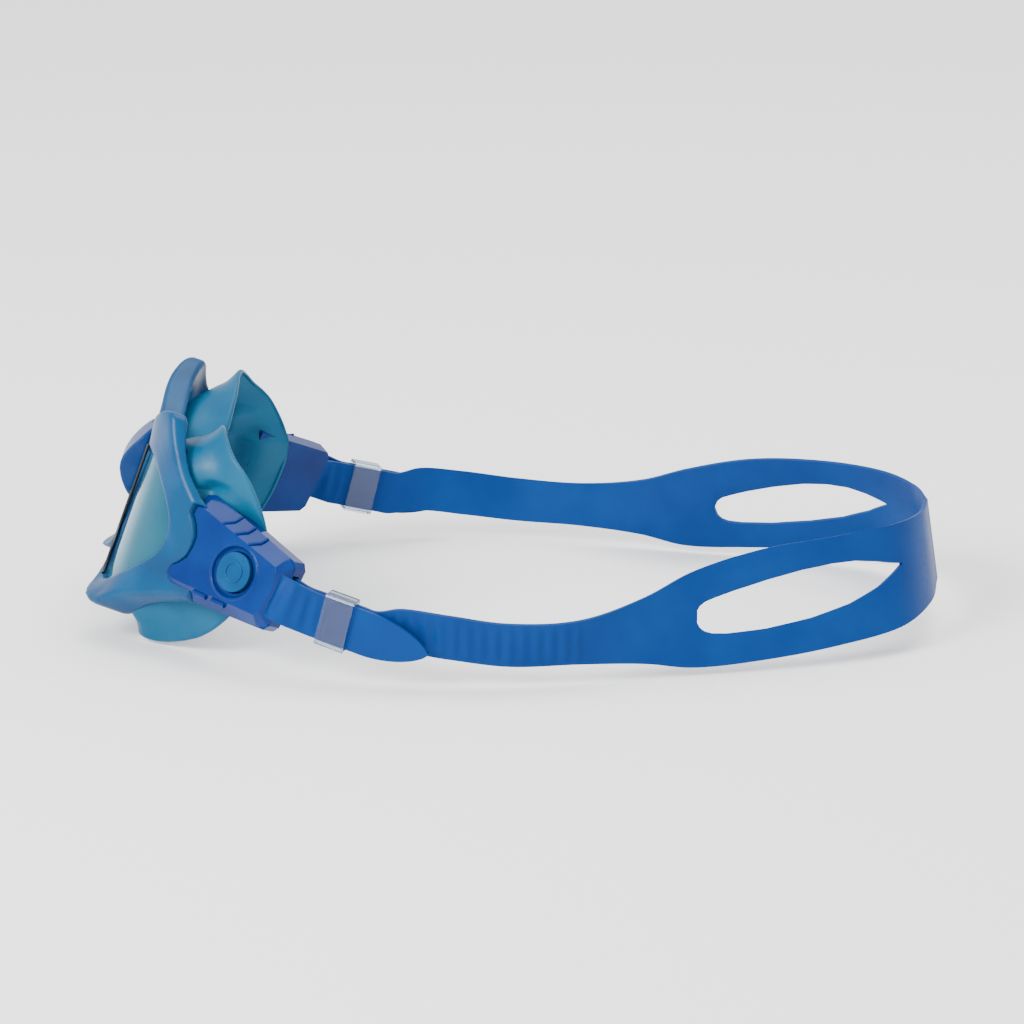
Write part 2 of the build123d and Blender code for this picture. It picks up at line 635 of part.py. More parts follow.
write("frame", place_mask * frame())
write("nose_bridge", place_mask * nose_bridge())
write_both("lens", place_mask * lens())
write_both("lens_gasket", place_mask * gasket())
write_both("skirt", place_mask * cup())
in_buckle = {
    "buckle_base": buckle_base(),
    "buckle_cover": buckle_cover(),
    "release_button": release_button(),
    "pawl": pawl(),
    "pawl_pin": pawl_pin(),
    "pawl_spring": pawl_spring(),
    "strap_roller": strap_roller(),
    "roller_pin": roller_pin(),
}
for node, shape in in_buckle.items():
    write_both(node, place_mask * (BUCKLE.location * shape))
write("strap", strap())
write_both("keeper", keeper())
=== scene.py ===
import json
from math import cos, exp, pi, radians, sin, sqrt

import bmesh
import bpy
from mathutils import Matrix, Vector

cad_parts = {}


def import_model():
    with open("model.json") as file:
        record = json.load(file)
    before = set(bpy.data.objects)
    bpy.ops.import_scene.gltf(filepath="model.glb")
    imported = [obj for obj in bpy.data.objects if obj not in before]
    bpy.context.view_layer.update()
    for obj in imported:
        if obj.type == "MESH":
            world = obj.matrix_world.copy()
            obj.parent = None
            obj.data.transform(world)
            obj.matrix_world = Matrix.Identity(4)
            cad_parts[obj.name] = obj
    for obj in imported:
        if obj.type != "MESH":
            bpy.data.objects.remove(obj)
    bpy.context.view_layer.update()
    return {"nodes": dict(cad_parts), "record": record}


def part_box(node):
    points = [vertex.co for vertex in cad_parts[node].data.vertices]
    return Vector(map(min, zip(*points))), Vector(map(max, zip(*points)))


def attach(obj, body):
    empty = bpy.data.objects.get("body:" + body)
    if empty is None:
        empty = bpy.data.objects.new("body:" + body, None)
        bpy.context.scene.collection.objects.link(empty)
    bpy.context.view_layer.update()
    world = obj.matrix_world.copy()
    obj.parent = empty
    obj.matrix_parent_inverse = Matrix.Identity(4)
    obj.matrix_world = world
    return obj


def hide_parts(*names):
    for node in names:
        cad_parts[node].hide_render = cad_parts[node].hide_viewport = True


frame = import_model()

NODES = frame["nodes"]
JOINTS = {joint["name"]: joint for joint in frame["record"]["behaviour"]["joints"]}
SIDES = ("left", "right")
MM = 0.001

# ---------------------------------------------------------------- places, in millimetres, from the CAD
PITCH = radians(20)
FRAME_LOW, FRAME_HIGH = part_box("frame")
STRAP_LOW, STRAP_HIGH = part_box("strap")
MASK_Y, MASK_Z = FRAME_LOW.y / MM + 14.21, FRAME_HIGH.z / MM - 38.61
STRAP_Y, STRAP_Z = STRAP_HIGH.y / MM - 135.685, STRAP_LOW.z / MM - 1.90

BUTTON = JOINTS["left_button_press"]
ROLLER = JOINTS["left_roller_spin"]
FACE = -Vector(BUTTON["axis"])
ACROSS = Vector(ROLLER["axis"])
ALONG = ACROSS.cross(FACE)
ROLLER_T, ROLLER_N = 12.0, -5.15
INNER_N, OUTER_N = -7.65, -2.65  # the strap's two layers, either side of the roller
BASE_BACK, COVER_BACK = -11.4, -6.2  # behind the buckle's base, and behind its cover


def mask(x, y, z):
    """A point of the mask, drawn upright, as it leans on the table."""
    back = MASK_Y + y * cos(PITCH) + z * sin(PITCH)
    up = MASK_Z - y * sin(PITCH) + z * cos(PITCH)
    return Vector((x, back, up)) * MM


def buckle(t, e, n):
    """A point of the left buckle: along it, up its face and out of its face."""
    place = Vector(ROLLER["pos_m"])
    return place + (ALONG * (t - ROLLER_T) + ACROSS * e + FACE * (n - ROLLER_N)) * MM


def in_buckle(point):
    """A point's place along, up and out of the left buckle, in millimetres."""
    away = (point - Vector(ROLLER["pos_m"])) / MM
    return away.dot(ALONG) + ROLLER_T, away.dot(ACROSS), away.dot(FACE) + ROLLER_N


def world(x, y, z):
    return Vector((x, y + STRAP_Y, z + STRAP_Z)) * MM


def flip(point):
    return Vector((-point.x, point.y, point.z))


# ---------------------------------------------------------------- mesh helpers
def new_object(name, mesh, smooth=True):
    piece = bpy.data.objects.new(name, mesh)
    bpy.context.scene.collection.objects.link(piece)
    for polygon in mesh.polygons:
        polygon.use_smooth = smooth
    return piece


def mesh_from(name, points, faces):
    mesh = bpy.data.meshes.new(name)
    mesh.from_pydata([tuple(p) for p in points], [], faces)
    mesh.update()
    return mesh


def apply_modifiers(piece):
    depsgraph = bpy.context.evaluated_depsgraph_get()
    mesh = bpy.data.meshes.new_from_object(piece.evaluated_get(depsgraph))
    piece.modifiers.clear()
    piece.data = mesh
    for polygon in mesh.polygons:
        polygon.use_smooth = True
    return piece


def modify(piece, kind, **values):
    modifier = piece.modifiers.new(kind.title(), kind)
    for key, value in values.items():
        setattr(modifier, key, value)
    return modifier


def tidy_normals(mesh):
    bm = bmesh.new()
    bm.from_mesh(mesh)
    bmesh.ops.recalc_face_normals(bm, faces=bm.faces)
    bm.to_mesh(mesh)
    bm.free()


def copy_of(node, name):
    """A new piece with a CAD node's shape, its doubled points merged."""
    mesh = NODES[node].data.copy()
    bm = bmesh.new()
    bm.from_mesh(mesh)
    bmesh.ops.remove_doubles(bm, verts=bm.verts, dist=2e-6)
    bmesh.ops.dissolve_degenerate(bm, edges=bm.edges, dist=1e-6)
    bmesh.ops.recalc_face_normals(bm, faces=bm.faces)
    bm.to_mesh(mesh)
    bm.free()
    mesh.materials.clear()
    return new_object(name, mesh)


def softened(node, name, voxel, rounds):
    """A moulded version of a CAD node: the same form with every edge rounded."""
    piece = copy_of(node, name)
    modify(piece, "REMESH", mode="VOXEL", voxel_size=voxel * MM, use_smooth_shade=True)
    modify(piece, "SMOOTH", factor=0.5, iterations=rounds)
    return apply_modifiers(piece)


def bevelled(node, name, width):
    piece = copy_of(node, name)
    modify(piece, "BEVEL", width=width * MM, segments=3, limit_method="ANGLE", angle_limit=radians(32),
           use_clamp_overlap=True)
    modify(piece, "WEIGHTED_NORMAL", keep_sharp=False)
    return apply_modifiers(piece)


def settle(piece, body, slot, material, *nodes):
    """Material, body and CAD node of a finished piece."""
    piece.data.materials.clear()
    piece.data.materials.append(material)
    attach(piece, body)
    if nodes:
        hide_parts(*nodes)
    return piece


def smooth_through(points, steps):
    """Closed curve through points, as a list with steps between each two."""
    count = len(points)
    found = []
    for number in range(count):
        p0, p1, p2, p3 = (points[(number + k - 1) % count] for k in range(4))
        for step in range(steps):
            u = step / steps
            found.append(0.5 * ((2 * p1) + (p2 - p0) * u + (2 * p0 - 5 * p1 + 4 * p2 - p3) * u * u
                                + (3 * p1 - p0 - 3 * p2 + p3) * u ** 3))
    return found


# ---------------------------------------------------------------- materials
def material(name, colour, roughness, transmission=0.0, ior=1.45, specular=0.5):
    made = bpy.data.materials.new(name)
    made.use_nodes = True
    shader = made.node_tree.nodes["Principled BSDF"]
    shader.inputs["Base Color"].default_value = (*colour, 1)
    shader.inputs["Roughness"].default_value = roughness
    shader.inputs["Transmission Weight"].default_value = transmission
    shader.inputs["IOR"].default_value = ior
    shader.inputs["Specular IOR Level"].default_value = specular
    return made


def add_node(made, kind, **values):
    node = made.node_tree.nodes.new(kind)
    for key, value in values.items():
        if key in node.inputs:
            node.inputs[key].default_value = value
        else:
            setattr(node, key, value)
    return node


def noise(made, scale, detail=3.0):
    place = add_node(made, "ShaderNodeTexCoord")
    grain = add_node(made, "ShaderNodeTexNoise", Scale=scale, Detail=detail)
    made.node_tree.links.new(place.outputs["Object"], grain.inputs["Vector"])
    return grain


def vary(made, low, high, scale):
    """Base colour that drifts between two colours."""
    grain = noise(made, scale)
    mix = add_node(made, "ShaderNodeValToRGB")
    mix.color_ramp.elements[0].position = 0.35
    mix.color_ramp.elements[1].position = 0.65
    mix.color_ramp.elements[0].color = (*low, 1)
    mix.color_ramp.elements[1].color = (*high, 1)
    links = made.node_tree.links
    links.new(grain.outputs["Fac"], mix.inputs["Fac"])
    links.new(mix.outputs["Color"], made.node_tree.nodes["Principled BSDF"].inputs["Base Color"])
    return made


def grain_bump(made, scale, strength, distance):
    """Fine moulded texture, in the bump and a little in the roughness."""
    grain = noise(made, scale, 5.0)
    bump = add_node(made, "ShaderNodeBump", Strength=strength, Distance=distance * MM)
    shader = made.node_tree.nodes["Principled BSDF"]
    links = made.node_tree.links
    links.new(grain.outputs["Fac"], bump.inputs["Height"])
    links.new(bump.outputs["Normal"], shader.inputs["Normal"])
    spread = add_node(made, "ShaderNodeMapRange")
    level = shader.inputs["Roughness"].default_value
    spread.inputs["To Min"].default_value = max(level - 0.08, 0.0)
    spread.inputs["To Max"].default_value = level + 0.08
    links.new(grain.outputs["Fac"], spread.inputs["Value"])
    links.new(spread.outputs["Result"], shader.inputs["Roughness"])
    return made


def tinted(name, colour, low, high, scale, **finish):
    """Moulded plastic or silicone whose colour drifts a little between low and high."""
    return vary(material(name, colour, **finish), low, high, scale)


def soft_materials():
    frosted = tinted("frosted_frame", (0, 0.05, 0.15), (0, 0.042, 0.13), (0, 0.065, 0.18), 60,
                     roughness=0.34, transmission=0.15, ior=1.5, specular=0.15)
    bridge = tinted("satin_bridge", (0, 0.03, 0.15), (0, 0.024, 0.13), (0, 0.036, 0.16), 80,
                    roughness=0.34, transmission=0.1, ior=1.5, specular=0.15)
    silicone = tinted("clear_silicone", (0, 0.11, 0.22), (0, 0.09, 0.2), (0.004, 0.125, 0.24), 40,
                      roughness=0.36, transmission=0.25, ior=1.41, specular=0.15)
    strap = tinted("strap_silicone", (0, 0.03, 0.16), (0, 0.03, 0.155), (0, 0.038, 0.18), 50,
                   roughness=0.42, ior=1.41, specular=0.12)
    return {
        "frame": grain_bump(frosted, 900, 0.15, 0.05),
        "bridge": grain_bump(bridge, 900, 0.12, 0.05),
        "skirt": grain_bump(silicone, 500, 0.1, 0.05),
        "strap": grain_bump(strap, 700, 0.1, 0.04),
        "gasket": grain_bump(material("gasket_rubber", (0.01, 0.05, 0.09), 0.6), 600, 0.2, 0.05),
        # near-black colour of painted shade, for the dark gap along the nose side of each lens
        "shade_line": grain_bump(material("painted_shade_line", (0.002, 0.002, 0.006), 0.25), 600, 0.1, 0.03),
    }


def hard_materials():
    buckle = tinted("gloss_buckle", (0, 0.02, 0.15), (0, 0.017, 0.13), (0, 0.028, 0.17), 60,
                    roughness=0.1, transmission=0.1, ior=1.5, specular=0.12)
    button = tinted("button", (0, 0.05, 0.17), (0, 0.045, 0.15), (0, 0.06, 0.19), 120,
                    roughness=0.12, transmission=0.1, ior=1.5, specular=0.2)
    inner = tinted("inner_plastic", (0, 0.03, 0.15), (0, 0.02, 0.12), (0, 0.03, 0.17), 120,
                   roughness=0.3, transmission=0.2, ior=1.5)
    lens = tinted("lens_polycarbonate", (0.02, 0.24, 0.36), (0.01, 0.2, 0.34), (0.04, 0.28, 0.4), 25,
                  roughness=0.09, transmission=0.7, ior=1.3, specular=0.3)
    sleeve = material("clear_keeper", (0.62, 0.75, 0.92), 0.04, 1.0, 1.45)
    steel = material("ground_steel", (0.3, 0.31, 0.33), 0.3)
    steel.node_tree.nodes["Principled BSDF"].inputs["Metallic"].default_value = 1.0
    return {
        "buckle": grain_bump(buckle, 300, 0.05, 0.03),
        "button": grain_bump(button, 300, 0.05, 0.03),
        "inner": grain_bump(inner, 500, 0.1, 0.04),
        "lens": grain_bump(lens, 20, 0.02, 0.02),
        "keeper": grain_bump(sleeve, 60, 0.02, 0.02),
        "steel": grain_bump(steel, 900, 0.15, 0.02),
    }


# ---------------------------------------------------------------- head strap
STRAP_THICK, LAYER_PITCH = 1.8, 2.1
STRAP_POINTS = 11  # across each face of the strap
HALF_WIDTH = 7
KEEPER_YAW, KEEPER_FALL = radians(17), radians(15)
KEEPER_START, KEEPER_RUN, TAIL_RUN = (72.6, -61.5, 21.8), 21.0, 20.0
EXIT_T = (19, 15.5, 12)  # along the buckle, from where the strap leaves it to the roller
SLOT_FRONT = {"left": 57.0, "right": 66.0}
SLOT_TIP_Y, SLOT_LENGTH = 122.0, 65.0
SLOT_MARGIN = 0.1  # least share of the strap's width left beside the slot
RIBS_TO = {"left": 22.0, "right": 33.0}
RIBS_BEHIND = -55.0  # the inner face has ribs too in front of this, where the strap is doubled
RIB_PITCH, RIB_HEIGHT, RIB_EDGE = 4.2, 0.6, 0.08
VALLEY = 0.2  # the strap is this much thinner between its ribs
EDGES = [
    ((80.3, -32, 24.4), (78.0, -32, 10.3)), ((82.0, -18, 22.9), (79.2, -18, 8.6)),
    ((82.2, 0, 20.5), (79.4, 0, 6.5)),
    ((77.2, 22, 20.2), (75.4, 22, 6.0)), ((66.0, 42, 24.5), (71.0, 42, 4.6)),
    ((58.5, 56, 30.2), (67.0, 56, 2.2)), ((52.0, 77, 35.5), (62.0, 77, 3.0)),
    ((43.0, 101, 37.4), (54.2, 101, 5.4)), ((30.5, 119, 37.6), (43.5, 121, 8.2)),
    ((16.0, 128, 37.2), (25.0, 131, 10.5)), ((0.0, 131.0, 37.0), (0.0, 134.8, 11.0)),
]
SLOT_TOP = [(0, 17), (0.4, 18.6), (1.3, 20), (3, 21.2), (6, 22.2), (12, 24), (22, 26.5), (33, 28.6),
            (42, 29.5), (50, 29.4), (57, 28.2), (65, 26)]
SLOT_LOW = [(0, 17), (0.4, 15.4), (1.2, 13.9), (2.6, 12.7), (5, 11.9), (10, 11.6), (22, 12.3),
            (36, 14.4), (48, 17.3), (57, 21), (65, 26)]


def keeper_point(x, e, n):
    """A point on the straight stretch of strap: along it, up it and out of its face."""
    level = cos(KEEPER_FALL)
    along = Vector((sin(KEEPER_YAW) * level, cos(KEEPER_YAW) * level, -sin(KEEPER_FALL)))
    face = along.cross(Vector((0, 0, 1))).normalized()
    up = face.cross(along)
    return world(*(Vector(KEEPER_START) + along * (KEEPER_RUN / 2 + x) + up * e + face * n))


def tail_shape(x):
    """Half-height and drop of the free end, at a distance past the straight stretch."""
    share = min(max(x / TAIL_RUN, 0), 0.998)
    half = HALF_WIDTH * (1 - share ** 1.9) ** 0.7
    return half, -0.5 * share


def strap_edges():
    """Upper and lower edge of the left half, from the tail's tip round the roller to the back."""
    edges, across = [], (HALF_WIDTH, -HALF_WIDTH)
    x = TAIL_RUN * 0.998
    while x > -KEEPER_RUN:
        half, drop = tail_shape(x)
        place = x + KEEPER_RUN / 2
        edges.append([keeper_point(place, e * half - drop, LAYER_PITCH / 2) for e in (1, -1)])
        x -= 0.25 if x > TAIL_RUN * 0.93 else (1.0 if x > 0 else 3.0)
    radius = (OUTER_N - INNER_N) / 2
    middle = (OUTER_N + INNER_N) / 2
    for t in EXIT_T:
        edges.append([buckle(t, e, OUTER_N) for e in across])
    for step in range(1, 8):
        turn = pi * step / 8
        place = (ROLLER_T - radius * sin(turn), middle + radius * cos(turn))
        edges.append([buckle(place[0], e, place[1]) for e in across])
    for t in reversed(EXIT_T):
        edges.append([buckle(t, e, INNER_N) for e in across])
    for x in (-10.5, -7, -3.5, 0, 3.5, 7, 10.5):
        edges.append([keeper_point(x, e, -LAYER_PITCH / 2) for e in across])
    for top, low in EDGES:
        edges.append([world(*top), world(*low)])
    return edges


def resample(edges, step):
    """Points about a step apart on a smooth line through the edges."""
    found = []
    count = len(edges)
    for number in range(count - 1):
        p0 = edges[max(number - 1, 0)]
        p1, p2 = edges[number], edges[number + 1]
        p3 = edges[min(number + 2, count - 1)]
        length = (p2[0] - p1[0] + p2[1] - p1[1]).length / 2
        before = max((p1[0] - p0[0] + p1[1] - p0[1]).length / 2, 1e-6)
        after = max((p3[0] - p2[0] + p3[1] - p2[1]).length / 2, 1e-6)
        parts = max(1, round(length / step))
        for part in range(parts):
            u = part / parts
            row = []
            for k in (0, 1):
                straight = p2[k] - p1[k]
                slope1 = slope2 = straight
                if number > 0:
                    slope1 = ((p1[k] - p0[k]) / before * length + straight) / 2
                if number < count - 2:
                    slope2 = (straight + (p3[k] - p2[k]) / after * length) / 2
                h1, h2 = 2 * u ** 3 - 3 * u ** 2 + 1, -2 * u ** 3 + 3 * u ** 2
                h3, h4 = u ** 3 - 2 * u ** 2 + u, u ** 3 - u ** 2
                row.append(p1[k] * h1 + p2[k] * h2 + slope1 * h3 + slope2 * h4)
            found.append(row)
    found.append(edges[-1])
    return found


def between(table, x):
    for (x0, y0), (x1, y1) in zip(table, table[1:]):
        if x <= x1:
            return y0 + (y1 - y0) * (x - x0) / (x1 - x0)
    return table[-1][1]


def slot_share(top, low, side):
    """Where the slot starts and ends across the strap, as shares from its lower edge; None outside it."""
    y = (top.y + low.y) / 2 / MM - STRAP_Y
    past = (y - SLOT_FRONT[side]) * SLOT_LENGTH / (SLOT_TIP_Y - SLOT_FRONT[side])
    if not 0 < past < SLOT_LENGTH:
        return None
    height = (top.z - low.z) / MM
    base = low.z / MM - STRAP_Z
    found = [(between(line, past) - base) / height for line in (SLOT_LOW, SLOT_TOP)]
    return [min(max(share, SLOT_MARGIN), 1 - SLOT_MARGIN) for share in found]


def strap_rows():
    """(upper, lower, side) all the way round, from the left tail's tip to the right one's."""
    left = resample(strap_edges(), 0.8 * MM)
    rows = [(top, low, "left") for top, low in left]
    rows += [(flip(top), flip(low), "right") for top, low in reversed(left[:-1])]
    return rows


def rib_height(travel, y, side, share):
    """Raised bars across the ribbed stretch of the strap."""
    if y > RIBS_TO[side] or not RIB_EDGE <= share <= 1 - RIB_EDGE:
        return 0.0
    wave = 0.5 + 0.5 * cos(2 * pi * travel / RIB_PITCH)
    return RIB_HEIGHT * min(max(1.8 * wave - 0.4, 0), 1)


def strap_points():
    """Points of every row, outer face then inner face, and whether the row crosses a slot."""
    rows = strap_rows()
    shares_low = (0, 0.04, 0.09, 0.5, 1)
    count = len(rows)
    points, open_rows = [], []
    travel = 0.0
    middles = [(top + low) / 2 for top, low, _ in rows]
    for number, (top, low, side) in enumerate(rows):
        along = middles[min(number + 1, count - 1)] - middles[max(number - 1, 0)]
        if number:
            travel += (middles[number] - middles[number - 1]).length / MM
        normal = along.cross(top - low).normalized()
        cut = slot_share(top, low, side)
        open_rows.append(cut is not None)
        first, last = cut if cut else (0.45, 0.55)
        below = [first * share for share in shares_low]
        above = [1 - (1 - last) * share for share in reversed(shares_low)]
        shares = below + [(first + last) / 2] + above
        y = middles[number].y / MM - STRAP_Y
        for layer in (1, -1):
            for share in shares:
                ribbed = layer > 0 or y < RIBS_BEHIND
                lift = rib_height(travel, y, side, share) if ribbed else 0.0
                half = STRAP_THICK / 2 - VALLEY + lift
                points.append(low.lerp(top, share) + normal * layer * half * MM)
    return points, open_rows


def strap_faces(open_rows):
    """Faces between the rows, with walls round each slot and a cap at both ends."""
    width, count, faces = STRAP_POINTS, len(open_rows), []
    for number in range(count - 1):
        a, b = number * 2 * width, (number + 1) * 2 * width
        gap = open_rows[number] and open_rows[number + 1]
        for k in range(width - 1):
            if gap and k in (4, 5):
                continue
            faces.append((a + k, b + k, b + k + 1, a + k + 1))
            faces.append((a + width + k, a + width + k + 1, b + width + k + 1, b + width + k))
        faces.append((a, a + width, b + width, b))
        faces.append((a + width - 1, b + width - 1, b + 2 * width - 1, a + 2 * width - 1))
        if gap:
            for k in (4, 6):
                faces.append((a + k, a + width + k, b + width + k, b + k))
    for number in range(1, count - 1):
        here, before, after = open_rows[number], open_rows[number - 1], open_rows[number + 1]
        if here and before != after:
            a = number * 2 * width
            for k in (4, 5):
                faces.append((a + k, a + k + 1, a + width + k + 1, a + width + k))
    for end in (0, (count - 1) * 2 * width):
        for k in range(width - 1):
            faces.append((end + k, end + k + 1, end + width + k + 1, end + width + k))
    return faces


def make_strap(made):
    points, open_rows = strap_points()
    mesh = mesh_from("head_strap", points, strap_faces(open_rows))
    tidy_normals(mesh)
    piece = new_object("head_strap", mesh)
    modify(piece, "BEVEL", width=0.45 * MM, segments=3, limit_method="ANGLE", angle_limit=radians(55))
    apply_modifiers(piece)
    settle(piece, "mask", "strap", made["strap"], "strap")


# ---------------------------------------------------------------- eye cups
LENS_MIDDLE_X, LENS_MIDDLE_Z = 27, 3
CUP_WALL = 1.0
NECK = [(9, 7, 22), (22, 8, 31.5), (36, 12.2, 35.5), (42, 14, 32), (45.5, 18.5, 26), (47.5, 23.5, 15),
        (48, 24, 4), (47, 22, -6), (43.5, 17, -15), (39, 10, -22), (36, 10.5, -25), (28, 9, -24.5),
        (14, 7.5, -17), (8, 7, 3)]
LIP = [(9.5, 18, 26), (22, 17, 37.5), (36.1, 16.1, 42.2), (45.5, 21.5, 37.5), (50.5, 29.5, 32),
       (53.5, 38.5, 20), (54.5, 39.5, 5), (54, 37, -8), (48, 31, -20), (40, 21.8, -28), (35, 14.3, -30.4),
       (28, 13.5, -29), (14, 15.5, -22), (8, 18, 3)]


def cup_rows():
    """Profiles round one cup, each from inside the frame out to the thin lip."""
    mx, mz = LENS_MIDDLE_X, LENS_MIDDLE_Z
    throat = [(mx + (x - mx) * 0.9, y - 4.5, mz + (z - mz) * 0.86) for x, y, z in NECK]
    curves = [smooth_through([Vector(p) for p in stage], 8) for stage in (throat, NECK, LIP)]
    rows = []
    for a, b, c in zip(*curves):
        out = c - b
        lift = Vector((0, out.y, 0))
        inner = (Vector((mx, c.y, mz)) - c).normalized()
        rows.append([a, a.lerp(b, 0.5), b, b + out * 0.2 + lift * 0.16, b + out * 0.5 + lift * 0.14,
                     b + out * 0.82 + lift * 0.06, c, c + Vector((0, 0.5, 0)) + inner * 0.9])
    return rows


def behind_base(point):
    """Keeps the cup's temple wall on the head's side of the buckle's base."""
    t, e, n = in_buckle(point)
    limit = BASE_BACK + 0.8 * max(abs(e) - 13, 0)
    if t < -15:
        limit = max(limit, COVER_BACK)
    if t < -26 or abs(e) > 20 or n < limit:
        return point
    return point + FACE * (limit - n) * MM


def make_cup(side, made):
    rows = cup_rows()
    total, depth = len(rows), len(rows[0])
    turn = (lambda p: p) if side == "left" else flip
    points = [turn(behind_base(mask(*p))) for row in rows for p in row]
    faces = []
    for k in range(total):
        a, b = k * depth, ((k + 1) % total) * depth
        for j in range(depth - 1):
            faces.append((a + j, b + j, b + j + 1, a + j + 1))
    mesh = mesh_from(f"eye_cup_{side}", points, faces)
    tidy_normals(mesh)
    piece = new_object(f"eye_cup_{side}", mesh)
    modify(piece, "SUBSURF", levels=2, render_levels=2)
    modify(piece, "SOLIDIFY", thickness=CUP_WALL * MM, offset=0.0)
    apply_modifiers(piece)
    settle(piece, "mask", "skirt", made["skirt"], f"skirt_{side}")


# ---------------------------------------------------------------- frame
LENS_X, LENS_Y = 17.5, 34.0  # upright axis that the lens and rim bend round
RIM_FRONT, RIM_RADIUS, RIM_DEPTH = -3.8, 37.8, 8.0
ARM_X, ARM_Y, ARM_SLOPE = 47.45, 10.93, 1.2985  # straight temple arm behind this point
BROW_THIN, CHIN_JUT, BROW_JUT = (4.6, 62, 30), (6.4, -78, 34), (2.2, 84, 26)  # size, angle, spread
ROWS, ROW_STEP = 144, 2.5
RECESS_N, RECESS_REAR_N, RECESS_REAR_T = -2.6, -5.5, -13  # floor of the cover's recess
OPENING = [(10, 19), (23, 24), (36, 22), (45, 12), (44, -2), (31, -16), (20, -20), (12, -13), (8.5, 3)]
EDGE = [(-1, 26.5), (6, 27.5), (13, 30), (22, 35), (28, 38.5), (33, 41), (36.5, 41), (39.7, 36.2),
        (43, 31), (46.4, 25.8), (51, 20.5), (57, 16), (61, 11), (61, 3), (59, -5), (52, -10), (46, -15),
        (42, -18.8), (39, -22.6), (36, -25.4), (32, -26), (25, -25.4), (18, -23), (11, -16.5),
        (5, -8.5), (-1, -2), (-1, 13)]


def plan_front(x):
    """How far back the outer face of the frame's rim lies, seen from above."""
    if x < LENS_X:
        return RIM_FRONT
    if x < ARM_X:
        return LENS_Y - sqrt(RIM_RADIUS ** 2 - (x - LENS_X) ** 2)
    return ARM_Y + ARM_SLOPE * (x - ARM_X)


def hump(angle, shape):
    """Smooth rise of a size round an angle, falling away over a spread."""
    size, middle, spread = shape
    away = (angle - middle + 180) % 360 - 180
    return size * exp(-((away / spread) ** 2))


def ray_hit(outline, angle):
    """Where a ray from the lens's middle leaves a closed outline."""
    dx, dz = cos(radians(angle)), sin(radians(angle))
    best = 0.0
    count = len(outline)
    for number in range(count):
        after = (number + 1) % count
        x0, z0 = outline[number][0] - LENS_MIDDLE_X, outline[number][1] - LENS_MIDDLE_Z
        x1, z1 = outline[after][0] - LENS_MIDDLE_X, outline[after][1] - LENS_MIDDLE_Z
        across = dx * (z1 - z0) - dz * (x1 - x0)
        if abs(across) < 1e-9:
            continue
        reach = (x0 * (z1 - z0) - z0 * (x1 - x0)) / across
        share = (x0 * dz - z0 * dx) / across
        if reach > 0 and -1e-6 <= share <= 1.000001:
            best = max(best, reach)
    return best


def frame_row(angle, opening, edge):
    """Section through the rim along one ray from the lens's middle."""
    near, far = ray_hit(opening, angle), ray_hit(edge, angle)
    depth = RIM_DEPTH - hump(angle, BROW_THIN)

    def place(share, back):
        reach = near + (far - near) * share
        x = LENS_MIDDLE_X + reach * cos(radians(angle))
        z = LENS_MIDDLE_Z + reach * sin(radians(angle))
        jut = share ** 1.5 * (hump(angle, CHIN_JUT) + hump(angle, BROW_JUT))
        front = plan_front(x) - jut
        rear = plan_front(x) + depth
        return Vector((x, front + (rear - front) * back, z))

    return [place(0, 0.95), place(0, 0.25), place(0.05, 0.06), place(0.15, 0), place(0.35, 0), place(0.6, 0),
            place(0.82, 0.0), place(0.95, 0.04), place(1, 0.2), place(1, 0.5), place(1, 0.85), place(0.94, 1),
            place(0.6, 1), place(0.3, 1)]


def frame_half():
    opening = [(p.x, p.y) for p in smooth_through([Vector((x, z, 0)) for x, z in OPENING], 10)]
    edge = [(p.x, p.y) for p in smooth_through([Vector((x, z, 0)) for x, z in EDGE], 6)]
    rows = [frame_row(number * ROW_STEP, opening, edge) for number in range(ROWS)]
    depth = len(rows[0])
    points = [mask(*p) for row in rows for p in row]
    faces = []
    for k in range(len(rows)):
        a, b = k * depth, ((k + 1) % len(rows)) * depth
        for j in range(depth):
            i = (j + 1) % depth
            faces.append((a + j, b + j, b + i, a + i))
    return points, faces


def make_frame(made):
    points, faces = frame_half()
    count = len(points)
    points += [flip(p) for p in points]
    faces += [tuple(index + count for index in reversed(face)) for face in faces]
    mesh = mesh_from("moulded_frame", points, faces)
    tidy_normals(mesh)
    piece = new_object("moulded_frame", mesh)
    modify(piece, "REMESH", mode="VOXEL", voxel_size=0.5 * MM, use_smooth_shade=True)
    modify(piece, "SMOOTH", factor=0.5, iterations=8)
    apply_modifiers(piece)
    recess, hollow = cover_line(COVER_FACE, 0.9), cover_line(COVER_FOOT, 0.8)
    for vertex in piece.data.vertices:
        point = Vector(vertex.co)
        drawn = point if point.x > 0 else flip(point)
        t, e, n = in_buckle(drawn)
        if t < -27 or abs(e) > 20:
            continue
        if t > RECESS_REAR_T and inside(hollow, t, e):
            limit = RECESS_REAR_N
        elif inside(recess, t, e):
            limit = RECESS_N
        else:
            continue
        if n > limit:
            moved = drawn - FACE * (n - limit) * MM
            vertex.co = moved if point.x > 0 else flip(moved)
    modify(piece, "SMOOTH", factor=0.5, iterations=2)
    apply_modifiers(piece)
    settle(piece, "mask", "frame", made["frame"], "frame")


